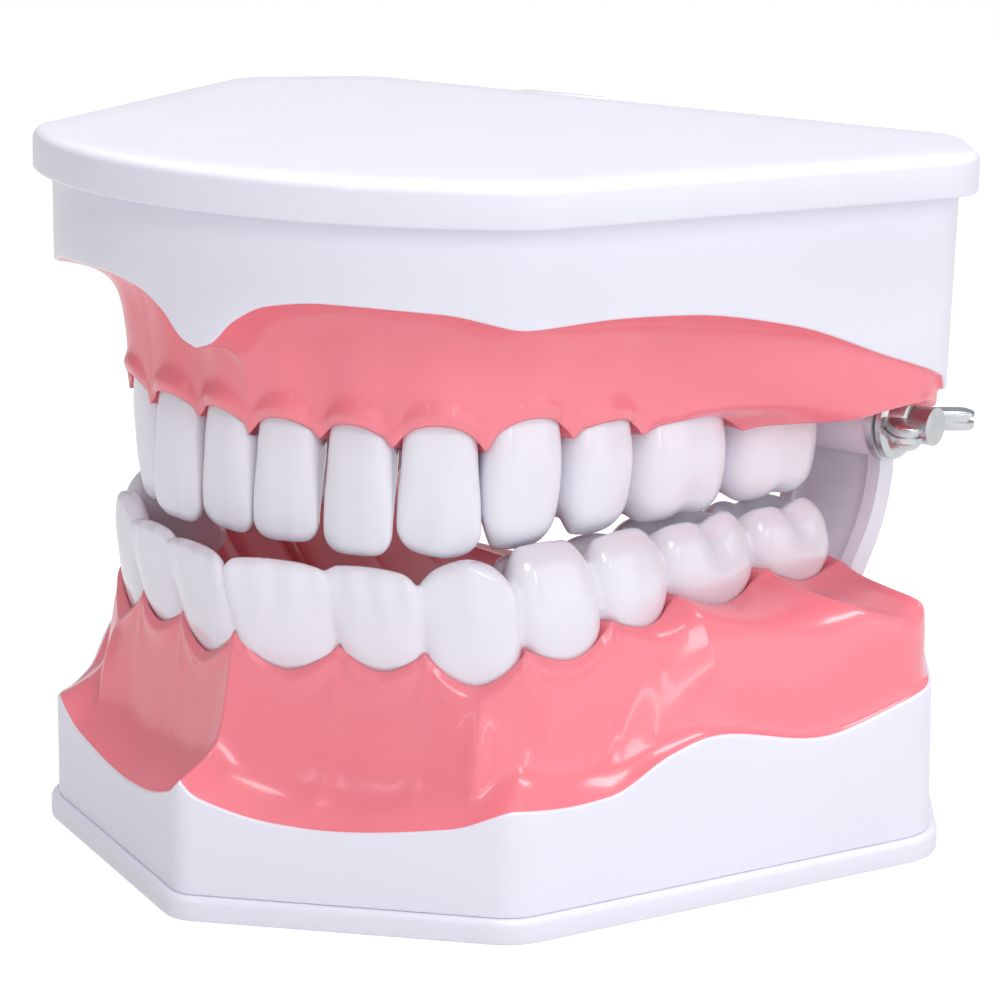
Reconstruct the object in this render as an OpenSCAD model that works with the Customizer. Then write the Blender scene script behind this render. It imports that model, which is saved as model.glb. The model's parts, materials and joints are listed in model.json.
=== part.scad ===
// Jointed demonstration model of two dental arches, about twice life size.
// +Y points to the back of the mouth, +Z up, the origin is on the underside of the base,
// on the midline, halfway between the front tip and the back edge of the base plate.

/* [Bases] */
// Width of the base plate between its side corners, before they are rounded
base_w = 152.6; // [149:0.2:156]
// Depth of the base plate, front tip to back edge
base_d = 109.5; // [107:0.5:112]
// Thickness of the base plate
plate_t = 3.65; // [3:0.05:5]
// Wall thickness of the white shells
wall_t = 2.6; // [2.2:0.1:3]
// Height of the closed model, underside of the base plate to the top of the lid
closed_h = 106.2; // [105.8:0.1:108]
// Height of the lid's lip
lip_h = 6.4; // [5:0.1:8]
// How far the lid's lip stands out past the top shell
lip_out = 2.8; // [2.4:0.1:3.4]

/* [Hinge] */
// Distance of the hinge axis behind the origin
hinge_y = 53; // [52.5:0.1:53.5]
// Height of the hinge axis above the table
hinge_z = 62.2; // [61.8:0.1:62.4]
// Outside radius of the hinge knuckles
knuckle_r = 6; // [5.5:0.1:6.1]
// Radius of the hinge bolts (M6)
bolt_r = 3; // [2.5:0.1:3]
// Angle the upper jaw is opened in this position
rest_open = 2.1; // [1.8:0.1:6]

/* [Teeth] */
// Radius of the screws that hold the removable teeth
tooth_screw_r = 1.5; // [1.2:0.1:1.6]
// Depth of the sockets for the removable teeth
socket_d = 6; // [4:0.5:6]

/* [Hidden] */

BOTTOM = 0;
TOP = 1;
fit = 0.1;           // gap between moulded pieces that sit on each other
slip = 0.06;         // radial clearance of a turning fit
white = [0.92, 0.91, 0.96];
pink = [0.95, 0.5, 0.55];
zinc = [0.72, 0.74, 0.76];

// ---- small helpers -------------------------------------------------------------------------

function unit(v) = v / norm(v);
function mix(a, b, t) = a + (b - a) * t;
function ease(t) = (1 - cos(180 * t)) / 2;
function clamp(x, lo, hi) = min(max(x, lo), hi);
// Height read from [position, height] pairs, rounded over at each pair.
function keyed(keys, x, i = 0) =
    x <= keys[i][0] || i == len(keys) - 1 ? keys[i][1]
    : x < keys[i + 1][0]
        ? mix(keys[i][1], keys[i + 1][1], ease((x - keys[i][0]) / (keys[i + 1][0] - keys[i][0])))
        : keyed(keys, x, i + 1);

// ---- outlines ------------------------------------------------------------------------------
// An outline is a closed curve with a parameter u: 0 the front midline, 1 the canine corner,
// 2 the side corner, 3 the back corner, 3.5 the back midline, and 7 - u on the left.

front_y = -base_d / 2;
back_y = base_d / 2;
corner_r = [3, 4, 6, 6];                    // length of edge taken by each rounded corner

base_pts = [[0, front_y], [46.5, front_y + 22], [base_w / 2, front_y + 89.5], [62.9, back_y]];
lid_pts = [[0, front_y + 4.1], [47.8, front_y + 23.4], [73.4, front_y + 99.7],
    [58.7, front_y + 119.5]];

function arc_point(tip, corner, f) =
    let (sag = corner[1] - tip[1], r = (corner[0] * corner[0] + sag * sag) / (2 * sag),
         half = asin(corner[0] / r))
    [r * sin(half * f), tip[1] + r * (1 - cos(half * f))];

// Point on the outline before its corners are rounded, u from -1 to 4.
function sharp(j, pts, u) =
    u < 0 ? let (p = sharp(j, pts, -u)) [-p[0], p[1]]
    : u >= 3 ? mix(pts[3], [-pts[3][0], pts[3][1]], u - 3)
    : j == TOP && u < 1 ? arc_point(pts[0], pts[1], u)
    : mix(pts[floor(u)], pts[floor(u) + 1], u - floor(u));

function edge_len(j, pts, i) = norm(sharp(j, pts, i + 1) - sharp(j, pts, i));
// A corner is rounded between two points at the same distance before and after it.
function rounded(j, pts, u) =
    let (i = min(round(u), 3), r = corner_r[i], before = r / edge_len(j, pts, i - 1),
         after = r / edge_len(j, pts, i), f = (u - i) / (u < i ? before : after), t = (1 + f) / 2)
    abs(f) >= 1 || (j == TOP && i == 0) ? sharp(j, pts, u)
    : (1 - t) * (1 - t) * sharp(j, pts, i - before) + 2 * t * (1 - t) * sharp(j, pts, i)
        + t * t * sharp(j, pts, i + after);

function outline(j, pts, u) =
    u > 3.5 ? let (p = rounded(j, pts, 7 - u)) [-p[0], p[1]] : rounded(j, pts, u);

// The same curve moved inwards by d.
function inset(j, pts, u, d) =
    let (e = 0.02, a = outline(j, pts, (u - e + 7) % 7), b = outline(j, pts, (u + e) % 7),
         t = unit(b - a))
    outline(j, pts, u) + d * [-t[1], t[0]];

edge_steps = [0, 0.03, 0.06, 0.16, 0.27, 0.38, 0.5, 0.62, 0.73, 0.84, 0.94, 0.97];
stations = [for (i = [0:6]) for (f = edge_steps) i + f];

function level(p, z) = [p[0], p[1], z];
function ring_at(j, pts, d, z) = [for (u = stations) level(inset(j, pts, u, d), z)];

// ---- heights of the white edge and of the gum ridge ----------------------------------------
// Both jaws are described the same way up: height above the outer face of their own plate.

plate_pts = [base_pts, lid_pts];
shell_in = [1.25, lip_out];                 // shell wall set in from the plate's edge
lid_t = 2.2;                                // thickness of the lid
shell_foot = [plate_t + fit, lid_t + fit];  // where the shell wall starts
tip_h = [20.8, 26.3];                       // white edge at the front midline
bay_u = [0.38, 0.42];                       // first bay beside the midline
edge_keys = [
    [[0.38, 14.8], [0.62, 15.2], [1, 19.4], [1.12, 19.0], [1.45, 25.7], [1.74, 22.3], [2.05, 26.8],
        [3.5, 26.8]],
    [[0.42, 18.1], [0.66, 18.0], [1, 20.6], [1.3, 20.2], [2.2, 36.5], [3.5, 36.5]]];
draft = 0.012;                              // shells narrow by this much per mm of height

function half_u(u) = u > 3.5 ? 7 - u : u;
function edge_h(j, u) =
    let (h = half_u(u), s = 1 - h / bay_u[j], low = edge_keys[j][0][1])
    h < bay_u[j] ? mix(low, tip_h[j], s * s) : keyed(edge_keys[j], h);

ridge_keys = [
    [[0, 38.5], [0.9, 38.5], [1.3, 41.5], [1.95, 41.5], [2.35, 30], [3.5, 28]],
    [[0, 38.5], [1.0, 38.5], [1.9, 41], [2.1, 40], [2.4, 36.8], [3.5, 36.8]]];
floor_h = [28, 26];
function ridge_h(j, u) = keyed(ridge_keys[j], half_u(u));

// ---- dental arches -------------------------------------------------------------------------
// The cheek side of each arch: a straight front at a slight angle, a bend at the canine and a
// straight side. s is the distance along it from the midline.

arch_front_y = [-39.6, -35.9];
arch_front_a = [20, 9.6];
arch_side_a = [81.5, 79.3];
arch_bend_at = [46, 37.3];                   // distance from the midline to the unrounded bend
arch_bend_r = [28, 24.3];

function arch_tan(j) = arch_bend_r[j] * tan((arch_side_a[j] - arch_front_a[j]) / 2);
function arch_lf(j) = arch_bend_at[j] - arch_tan(j);
function arch_la(j) = arch_bend_r[j] * (arch_side_a[j] - arch_front_a[j]) * PI / 180;
function arch_dir(j, s) =
    clamp(arch_front_a[j] + (s - arch_lf(j)) / arch_bend_r[j] * 180 / PI, arch_front_a[j],
        arch_side_a[j]);
function along(a, l) = l * [cos(a), sin(a)];
function arch_pt(j, s) =
    let (p0 = [0, arch_front_y[j]], lf = arch_lf(j), la = arch_la(j), a0 = arch_front_a[j],
         p1 = p0 + along(a0, lf), r = arch_bend_r[j], a = arch_dir(j, s),
         bend = p1 + r * [sin(a) - sin(a0), cos(a0) - cos(a)])
    s < lf ? p0 + along(a0, s) : bend + along(a, max(0, s - lf - la));

// Cheek and tongue sides of the gum ridge, and the foot of the ridge inside the arch.
ridge_out = [
    [[0, -40], [44, -24], [55, 41], [46, 48]],
    [[0, -36.3], [37, -29], [51.8, 44], [44, 50]]];
ridge_in = [
    [[0, -22], [24, -10], [31, 41], [27, 44]],
    [[0, -20], [20, -12], [28.5, 44], [25, 47.5]]];
arch_foot = [
    [[0, -12], [16, -4], [22, 38], [19, 40]],
    [[0, -11], [13, -5], [20, 38], [17, 41]]];

// Share of the way from a shelf-like gum (0, front) to one that rises from the wall (1, back).
function rise_first(u) = ease(clamp((half_u(u) - 1.15) / 0.75, 0, 1));

function gum_side(j, u, t) =
    let (k = rise_first(u), h = mix(sin(90 * t), 1 - cos(90 * t), k),
         v = mix(1 - cos(90 * t), sin(90 * t), k),
         e = inset(j, plate_pts[j], u, shell_in[j] + draft * edge_h(j, u)),
         m = outline(BOTTOM, ridge_out[j], u))
    level(mix(e, m, h), mix(edge_h(j, u) + fit, ridge_h(j, u), v));

// Closed solid through rings of equal length, each end closed to one point.
module skin(rings, cap_a, cap_b) {
    n = len(rings[0]);
    m = len(rings);
    pts = concat([cap_a], [for (r = rings) each r], [cap_b]);
    last = len(pts) - 1;
    faces = concat(
        [for (i = [0:n - 1]) [0, 1 + (i + 1) % n, 1 + i]],
        [for (k = [0:m - 2]) for (i = [0:n - 1]) for (h = [0, 1])
            let (a = 1 + k * n + i, b = 1 + k * n + (i + 1) % n)
            h == 0 ? [a, b, b + n] : [a, b + n, a + n]],
        [for (i = [0:n - 1]) [last, 1 + (m - 1) * n + i, 1 + (m - 1) * n + (i + 1) % n]]);
    polyhedron(pts, faces, convexity = 8);
}

// Closed band through rings of equal length, the last joined back to the first.
module band(rings) {
    n = len(rings[0]);
    m = len(rings);
    faces = [for (k = [0:m - 1]) for (i = [0:n - 1]) for (h = [0, 1])
        let (a = k * n + i, b = k * n + (i + 1) % n, c = ((k + 1) % m) * n + i,
             d = ((k + 1) % m) * n + (i + 1) % n)
        h == 0 ? [a, d, b] : [a, c, d]];
    polyhedron([for (r = rings) each r], faces, convexity = 8);
}

module shell_wall(j) {
    d = shell_in[j];
    foot = shell_foot[j];
    band([
        ring_at(j, plate_pts[j], d + wall_t, foot),
        ring_at(j, plate_pts[j], d, foot),
        [for (u = stations)
            level(inset(j, plate_pts[j], u, d + draft * edge_h(j, u)), edge_h(j, u))],
        [for (u = stations)
            level(inset(j, plate_pts[j], u, d + wall_t), edge_h(j, u))]]);
}

ridge_solid = [10, 9];                      // solid depth of gum under the teeth
skirt_h = 3;                                // lip of the gum that reaches down inside the shell
floor_t = 4;                                // thickness of the palate and of the mouth floor
arch_centre = [0, 12];

module gum_body(j) {
    wall_in = shell_in[j] + wall_t + 2 * fit;
    function across(u, t) =
        mix(outline(BOTTOM, ridge_out[j], u), outline(BOTTOM, ridge_in[j], u), t);
    function skirt_z(u) = edge_h(j, u) - skirt_h;
    side = [for (t = [1:-0.2:0]) [for (u = stations) gum_side(j, u, t)]];
    skin(concat(
        [[for (u = stations) level(outline(BOTTOM, arch_foot[j], u), floor_h[j])],
         [for (u = stations) level(across(u, 1), ridge_h(j, u))]],
        side,
        [[for (u = stations) level(inset(j, plate_pts[j], u, wall_in), edge_h(j, u) + fit)],
         [for (u = stations) level(inset(j, plate_pts[j], u, wall_in), skirt_z(u))],
         [for (u = stations) level(across(u, 0.2), skirt_z(u))],
         [for (u = stations) level(across(u, 0.3), max(ridge_h(j, u) - ridge_solid[j], skirt_z(u)))],
         [for (u = stations) level(across(u, 0.85), floor_h[j] - floor_t)]]),
        level(arch_centre, floor_h[j]), level(arch_centre, floor_h[j] - floor_t));
}

// ---- teeth ---------------------------------------------------------------------------------
// Per tooth from the midline: width along the arch, depth across it, height of the cusps above
// the gum ridge, depth of the groove between the cusps (0 for a cutting edge), and the share of
// the width lost from the cheek side to the tongue side.

teeth = [
    [[16.2, 12, 12.6, 0, 0.3], [13, 11, 12.6, 0, 0.3], [15, 12, 13.2, 0, 0.55],
        [14.7, 16, 14, 3.5, 0.5], [13.6, 16, 13, 3.5, 0.2], [20, 19, 11.8, 4, 0.1],
        [17.4, 19, 11, 4, 0.1]],
    [[11.8, 10, 15.8, 0, 0.35], [11.9, 10, 15.8, 0, 0.35], [13.7, 11.5, 14, 0, 0.6],
        [15.1, 13.5, 14.6, 3.2, 0.5], [14, 14, 13.8, 3.2, 0.2], [20.9, 18, 13.2, 3.6, 0.1],
        [20.1, 18, 12.6, 3.6, 0.1]]];
names = ["central_incisor", "lateral_incisor", "canine", "first_premolar", "second_premolar",
    "first_molar", "second_molar"];
tooth_gap = [-2.4, 0.35];                   // overlap of the fused teeth, gap between the loose
root_w = 0.36;                              // half sizes of the root, as shares of the crown
root_depth = 0.34;
squareness = 2.8;                           // exponent of the rounded-rectangle sections

function start_s(j, i) = i == 0 ? 0 : start_s(j, i - 1) + teeth[j][i - 1][0];
function tooth_y(j, i) = teeth[j][i][1] / 2;
cheek_l = 64;                               // length of the arch behind its bend
// Height of the ridge under a tooth, from the share of the arch that lies before it.
function tooth_base(j, i) =
    let (s = start_s(j, i) + teeth[j][i][0] / 2)
    ridge_h(j, s < arch_bend_at[j] ? s / arch_bend_at[j] : 1 + (s - arch_bend_at[j]) / cheek_l);

module at_tooth(j, i) {
    a = arch_pt(j, start_s(j, i));
    b = arch_pt(j, start_s(j, i) + teeth[j][i][0]);
    translate(level((a + b) / 2, tooth_base(j, i)))
        rotate(atan2(b[1] - a[1], b[0] - a[0])) children();
}

function power(c, e) = sign(c) * pow(abs(c), 2 / e);
// Section of a crown: half width, half depth, distance of its cheek side, height, groove drop,
// and how much narrower it gets per mm towards the tongue.
function section(w, d, y, z, drop, taper) = [for (i = [0:15]) let (a = 22.5 * i,
    py = y + d + d * power(sin(a), squareness))
    [w * power(cos(a), squareness) * (1 - taper * py), py, z - drop * cos(a) * cos(a)]];

module crown(j, i, root) {
    t = teeth[j][i];
    w = t[0] - tooth_gap[j];
    d = t[1];
    h = t[2];
    g = t[3];
    n = t[4] / d;
    mid = tooth_y(j, i);
    rw = root_w * w;
    rd = root_depth * d;
    lower = [
        section(rw, rd, mid - rd, -root, 0, n),
        section(rw, rd, mid - rd, 1.8, 0, n),
        section(0.47 * w, 0.46 * d, -0.4, 0.35 * h, 0, n)];
    blade = [
        section(0.5 * w, 0.3 * d, -0.6, 0.68 * h, 0, n),
        section(0.49 * w, 0.17 * d, -0.3, h - 1.2, 0, n),
        section(0.44 * w, 0.1 * d, 0.4, h, 0, n)];
    cusped = [
        section(0.5 * w, 0.46 * d, -0.3, 0.6 * h, 0.3 * g, n),
        section(0.47 * w, 0.4 * d, 0.8, h - 2, 0.8 * g, n),
        section(0.38 * w, 0.27 * d, mid - 0.27 * d, h, g, n)];
    top = g > 0 ? [0, mid, h - g] : [0, 0.4 + 0.1 * d, i == 2 ? h + 1.6 : h];
    skin(concat([for (k = [2:-1:0]) (g > 0 ? cusped : blade)[k]], [for (k = [2:-1:0]) lower[k]]),
        top, [0, mid, -root]);
}

// Socket for a root, a little larger all round.
module socket(j, i, root) {
    rw = root_w * (teeth[j][i][0] - tooth_gap[j]) + fit;
    rd = root_depth * teeth[j][i][1] + fit;
    n = teeth[j][i][4] / teeth[j][i][1];
    mid = tooth_y(j, i);
    skin([section(rw, rd, mid - rd, 8, 0, n), section(rw, rd, mid - rd, -root - fit, 0, n)],
        [0, mid, 8], [0, mid, -root - fit]);
}

module pan_screw(r, l) {
    cylinder(r = r, h = l, $fn = 32);
    translate([0, 0, -1.4 * r]) cylinder(r1 = 1.6 * r, r2 = 2 * r, h = 1.4 * r, $fn = 32);
}

tooth_screw_l = ridge_solid[TOP] - socket_d + 4;
module at_tooth_screw(j, i) at_tooth(j, i) translate([0, tooth_y(j, i), -ridge_solid[j]]) children();

arch_root = 5;
arch_screw_teeth = [0, 2, 4, 6];
arch_screw_l = ridge_solid[BOTTOM] - arch_root + 3.5;

module both_sides() for (m = [0, 1]) mirror([m, 0, 0]) children();

// Clearance for a tooth screw and its head, from inside the gum.
module screw_way() {
    translate([0, 0, -1]) cylinder(r = tooth_screw_r + fit, h = 10, $fn = 24);
    translate([0, 0, -30]) cylinder(r = 2 * tooth_screw_r + 0.4, h = 30, $fn = 24);
}

// ---- placing the upper jaw -----------------------------------------------------------------

module opened() translate([0, hinge_y, hinge_z]) rotate([-rest_open, 0, 0])
    translate([0, -hinge_y, -hinge_z]) children();
module upper() opened() translate([0, 0, closed_h]) mirror([0, 0, 1]) children();

// ---- base ----------------------------------------------------------------------------------

plate_screw_u = [0.5, 1.5, 5.5, 6.5];
plate_screw_r = 1.5;
plate_screw_l = 9;
boss_r = 3.4;
boss_top = 11.2;
csk_h = 1.8;

function boss_at(u) = inset(BOTTOM, plate_pts[BOTTOM], u, shell_in[BOTTOM] + wall_t + 2.6);

module countersunk(r, l, gap = 0) {
    cylinder(r = r + gap, h = l, $fn = 32);
    translate([0, 0, -fit]) cylinder(r1 = 2 * r + gap + fit, r2 = r + gap, h = csk_h + fit, $fn = 32);
}

module base_plate() color(white) difference() {
    skin([
        ring_at(BOTTOM, base_pts, 0.8, plate_t), ring_at(BOTTOM, base_pts, 0, plate_t - 0.8),
        ring_at(BOTTOM, base_pts, 0, 0.8), ring_at(BOTTOM, base_pts, 0.8, 0)],
        [0, 0, plate_t], [0, 0, 0]);
    for (u = plate_screw_u) translate(level(boss_at(u), 0))
        countersunk(plate_screw_r, plate_t + 1, fit);
    both_sides() for (x = arm_screw_x) translate([x, arm_foot_y, 0])
        countersunk(plate_screw_r, plate_t + 1, fit);
}

module base_plate_screws() color(zinc) for (u = plate_screw_u)
    translate(level(boss_at(u), fit)) countersunk(plate_screw_r, plate_screw_l);

module bottom_shell() color(white) difference() {
    union() {
        shell_wall(BOTTOM);
        for (u = plate_screw_u) translate(level(boss_at(u), plate_t + fit))
            cylinder(r = boss_r, h = boss_top - plate_t - fit, $fn = 40);
    }
    for (u = plate_screw_u) translate(level(boss_at(u), 0))
        cylinder(r = plate_screw_r, h = plate_screw_l + 0.5, $fn = 32);
}

module bottom_gum() color(pink) resize([0, 0, 0]) difference() {
    gum_body(BOTTOM);
    both_sides() for (i = [0:6]) at_tooth(BOTTOM, i) socket(BOTTOM, i, arch_root);
    both_sides() for (i = arch_screw_teeth) at_tooth_screw(BOTTOM, i) screw_way();
    both_sides() arm_way(0.4);
}

module bottom_tooth_arch() color(white) resize([0, 0, 0]) difference() {
    both_sides() for (i = [0:6]) at_tooth(BOTTOM, i) crown(BOTTOM, i, arch_root);
    both_sides() for (i = arch_screw_teeth) at_tooth_screw(BOTTOM, i)
        cylinder(r = tooth_screw_r + fit / 2, h = arch_screw_l + 0.3, $fn = 24);
}

module tooth_arch_screws() color(zinc) both_sides() for (i = arch_screw_teeth)
    at_tooth_screw(BOTTOM, i) pan_screw(tooth_screw_r, arch_screw_l);

// ---- hinge ---------------------------------------------------------------------------------

arm_x = 37;                                 // inner side of an arm
arm_w = 17;
arm_t = 3;                                  // thickness of an arm between its two ribs
rib_t = 4.2;
rib_w = 2.2;
arm_bend_r = 23;                            // upper bend of an arm
arm_foot_bend_r = 14;                       // lower, opposite bend
arm_bend_a = 45;
arm_rise = 5;                               // how far the upper bend ends below the hinge axis
arm_foot_d = 10;
arm_foot_h = 8;
arm_screw_x = [arm_x + 4.5, arm_x + arm_w - 4.5];

arm_top_y = hinge_y + 1.6;
arm_bend_y = arm_top_y - arm_bend_r * (1 - cos(arm_bend_a));
arm_foot_y = arm_bend_y - arm_foot_bend_r * (1 - cos(arm_bend_a));
arm_bend_z = hinge_z - arm_rise - arm_bend_r * sin(arm_bend_a);
arm_foot_z = arm_bend_z - arm_foot_bend_r * sin(arm_bend_a);

// Side profile of an arm: two arcs that swing it back from its foot up to the knuckle.
function arm_edge(o) = concat(
    [[arm_foot_y + o, plate_t + 1]],
    [for (a = [0:9:arm_bend_a]) [arm_foot_y + arm_foot_bend_r - (arm_foot_bend_r - o) * cos(a),
        arm_foot_z + (arm_foot_bend_r - o) * sin(a)]],
    [for (a = [arm_bend_a - 9:-9:0]) [arm_top_y - arm_bend_r + (arm_bend_r + o) * cos(a),
        hinge_z - arm_rise - (arm_bend_r + o) * sin(a)]],
    [[arm_top_y + o, hinge_z]]);
module arm_strip(x, w, front, back) translate([x, 0, 0]) rotate([90, 0, 90]) linear_extrude(w)
    polygon(concat(arm_edge(-front), [for (i = [len(arm_edge(0)) - 1:-1:0]) arm_edge(back)[i]]));
module x_cylinder(r, x, l, fn = 64) translate([x, hinge_y, hinge_z]) rotate([0, 90, 0])
    cylinder(r = r, h = l, $fn = fn);

module arm_body() {
    arm_strip(arm_x, arm_w, arm_t / 2, arm_t / 2);
    for (x = [arm_x, arm_x + arm_w - rib_w]) arm_strip(x, rib_w, rib_t - arm_t / 2, arm_t / 2);
    translate([arm_x, arm_foot_y - arm_foot_d / 2, plate_t + fit])
        cube([arm_w, arm_foot_d, arm_foot_h]);
}

// Way through the gum for an arm.
module arm_way(gap) arm_strip(arm_x - gap, arm_w + 2 * gap, rib_t - arm_t / 2 + gap, arm_t / 2 + gap);

module hinge_arm() difference() {
    union() {
        arm_body();
        x_cylinder(knuckle_r, arm_x, arm_w);
    }
    x_cylinder(bolt_r + slip, arm_x - 1, arm_w + 2);
    for (x = arm_screw_x) translate([x, arm_foot_y, 0])
        cylinder(r = plate_screw_r, h = plate_screw_l + 0.5, $fn = 32);
}
module hinge_arm_right() color(white) hinge_arm();
module hinge_arm_left() color(white) mirror([1, 0, 0]) hinge_arm();
module hinge_arm_screws() color(zinc) both_sides() for (x = arm_screw_x)
    translate([x, arm_foot_y, fit]) countersunk(plate_screw_r, plate_screw_l);

// Lugs of the upper jaw, on the inner side of each arm, hung from the shell's back wall.
lug_x = 22.6;
lug_w = arm_x - 0.1 - lug_x;
lug_y = 51.2;
lug_t = 3;
lug_top = 97;
lug_screw_z = [80, 91];
lug_boss_r = 4;
lug_screw_r = 1.5;

module hinge_lug() difference() {
    union() {
        x_cylinder(knuckle_r, lug_x, lug_w);
        translate([lug_x, lug_y, hinge_z]) cube([lug_w, lug_t, lug_top - hinge_z]);
    }
    x_cylinder(bolt_r + slip, lug_x - 1, lug_w + 2);
    for (z = lug_screw_z) translate([lug_x + lug_w / 2, lug_y - 1, z]) rotate([-90, 0, 0])
        cylinder(r = lug_screw_r + fit, h = lug_t + 2, $fn = 32);
}
module hinge_lug_right() color(white) opened() hinge_lug();
module hinge_lug_left() color(white) opened() mirror([1, 0, 0]) hinge_lug();
module at_lug_screws() both_sides() for (z = lug_screw_z)
    translate([lug_x + lug_w / 2, lug_y, z]) rotate([-90, 0, 0]) children();
module hinge_lug_screws() color(zinc) opened() at_lug_screws() pan_screw(lug_screw_r, lug_t + 4);

washer_x = arm_x + arm_w + 0.05;
washer_t = 1.2;
nut_x = washer_x + washer_t + 0.05;
nut_h = 7;
bolt_end = nut_x + nut_h + 0.6;
head_h = 4;

module hinge_bolts() color(zinc) opened() both_sides() {
    x_cylinder(bolt_r, lug_x - 0.5, bolt_end - lug_x + 0.5);
    x_cylinder(5.7, lug_x - fit - head_h, head_h, 6);
}
module washer() difference() {
    x_cylinder(6.4, washer_x, washer_t);
    x_cylinder(bolt_r + 0.2, washer_x - 1, washer_t + 2);
}
module hinge_washer_right() color(zinc) opened() washer();
module hinge_washer_left() color(zinc) opened() mirror([1, 0, 0]) washer();

// Wing nut: a tapered boss with two rounded wings that flare outwards.
wing_reach = 10.5;                          // from the axis to the end of a wing
wing_w = 7;
wing_t = 2.4;
wing_flare = 38;
module wing() hull() {
    translate([nut_x + 2.6, 0, -wing_t / 2]) cylinder(r = 2.4, h = wing_t, $fn = 24);
    translate([nut_x + 4.6 + wing_w / 2 * sin(wing_flare), wing_reach - wing_w / 2, -wing_t / 2])
        cylinder(r = wing_w / 2, h = wing_t, $fn = 32);
}
module wing_nut() difference() {
    translate([0, hinge_y, hinge_z]) {
        translate([nut_x, 0, 0]) rotate([0, 90, 0]) cylinder(r1 = 6, r2 = 4.6, h = nut_h, $fn = 48);
        for (m = [0, 1]) mirror([0, m, 0]) wing();
    }
    x_cylinder(bolt_r + slip, nut_x - 1, nut_h + 20);
}
module wing_nut_right() color(zinc) opened() wing_nut();
module wing_nut_left() color(zinc) opened() mirror([1, 0, 0]) wing_nut();

// ---- upper jaw -----------------------------------------------------------------------------

tab_x = -27;                                // pry tab on the back edge of the lid
tab_w = 18;
tab_out = 2.4;
lid_back = lid_pts[3][1];

module top_lid() color(white) upper() union() {
    skin([
        ring_at(TOP, lid_pts, lip_out - fit, lid_t), ring_at(TOP, lid_pts, lip_out - fit, lip_h),
        ring_at(TOP, lid_pts, 0, lip_h), ring_at(TOP, lid_pts, 0, 1.8),
        ring_at(TOP, lid_pts, 0.55, 0.5), ring_at(TOP, lid_pts, 1.8, 0)],
        [0, 5, lid_t], [0, 5, 0]);
    translate([tab_x, lid_back - 1, 0.8]) cube([tab_w, 1 + tab_out, lip_h - 2.4]);
}

module top_shell() color(white) upper() difference() {
    union() {
        shell_wall(TOP);
        both_sides() for (z = lug_screw_z)
            translate([lug_x + lug_w / 2, lug_y + lug_t + fit, closed_h - z]) rotate([-90, 0, 0])
                cylinder(r = lug_boss_r, h = lid_back - lip_out - 1 - lug_y - lug_t, $fn = 40);
    }
    both_sides() for (z = lug_screw_z)
        translate([lug_x + lug_w / 2, lug_y, closed_h - z]) rotate([-90, 0, 0])
            cylinder(r = lug_screw_r, h = lug_t + 4.5, $fn = 32);
}

module top_gum() color(pink) upper() resize([0, 0, 0]) difference() {
    gum_body(TOP);
    both_sides() for (i = [0:6]) at_tooth(TOP, i) socket(TOP, i, socket_d);
    both_sides() for (i = [0:6]) at_tooth_screw(TOP, i) screw_way();
    both_sides() translate([lug_x - 0.5, lug_y - 0.5, 0])
        cube([lug_w + 1, lug_t + 1, closed_h - hinge_z]);
    both_sides() translate([lug_x - 1, hinge_y, closed_h - hinge_z]) rotate([0, 90, 0])
        cylinder(r = knuckle_r + 0.6, h = lug_w + arm_w + 2.5, $fn = 40);
}

module top_tooth(i, side) color(white) upper() mirror([side, 0, 0]) at_tooth(TOP, i) difference() {
    crown(TOP, i, socket_d);
    translate([0, tooth_y(TOP, i), -ridge_solid[TOP]])
        cylinder(r = tooth_screw_r, h = tooth_screw_l + 0.3, $fn = 32);
}
module tooth_screws() color(zinc) upper() both_sides() for (i = [0:6])
    at_tooth_screw(TOP, i) pan_screw(tooth_screw_r, tooth_screw_l);

base_plate();
base_plate_screws();
bottom_shell();
bottom_gum();
bottom_tooth_arch();
tooth_arch_screws();
hinge_arm_left();
hinge_arm_right();
hinge_arm_screws();
top_lid();
top_shell();
top_gum();
tooth_screws();
hinge_lug_left();
hinge_lug_right();
hinge_lug_screws();
hinge_bolts();
hinge_washer_left();
hinge_washer_right();
wing_nut_left();
wing_nut_right();
for (i = [0:6]) {
    top_tooth(i, 1);
    top_tooth(i, 0);
}
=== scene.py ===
"""Looks of the hinged tooth model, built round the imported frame.

Lengths are millimetres in the row frame until a mesh is made, where MM turns them into metres.
Both jaws are described the same way up, as heights above the outer face of their own plate. The
upper jaw is then turned over and opened about the hinge by lifted().
"""
import json
import math

import bmesh
import bpy
import numpy as np
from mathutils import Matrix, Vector


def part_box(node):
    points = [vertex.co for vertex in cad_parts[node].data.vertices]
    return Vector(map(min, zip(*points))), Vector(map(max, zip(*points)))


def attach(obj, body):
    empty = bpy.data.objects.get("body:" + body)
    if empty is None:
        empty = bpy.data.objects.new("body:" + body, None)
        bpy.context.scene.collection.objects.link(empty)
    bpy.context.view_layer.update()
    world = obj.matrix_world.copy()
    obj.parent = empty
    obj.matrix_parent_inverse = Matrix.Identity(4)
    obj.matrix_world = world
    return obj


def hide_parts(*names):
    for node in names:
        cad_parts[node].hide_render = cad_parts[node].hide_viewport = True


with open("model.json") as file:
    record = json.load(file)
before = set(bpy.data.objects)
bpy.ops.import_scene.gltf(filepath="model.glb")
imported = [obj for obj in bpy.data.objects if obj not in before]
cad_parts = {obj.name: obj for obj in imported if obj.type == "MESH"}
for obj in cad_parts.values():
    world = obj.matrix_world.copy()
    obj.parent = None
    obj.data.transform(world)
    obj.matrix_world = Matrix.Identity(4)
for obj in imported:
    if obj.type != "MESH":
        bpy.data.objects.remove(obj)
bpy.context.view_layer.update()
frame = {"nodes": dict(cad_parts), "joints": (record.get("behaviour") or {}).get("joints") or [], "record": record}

MM = 0.001
BOTTOM, TOP = 0, 1
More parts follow.
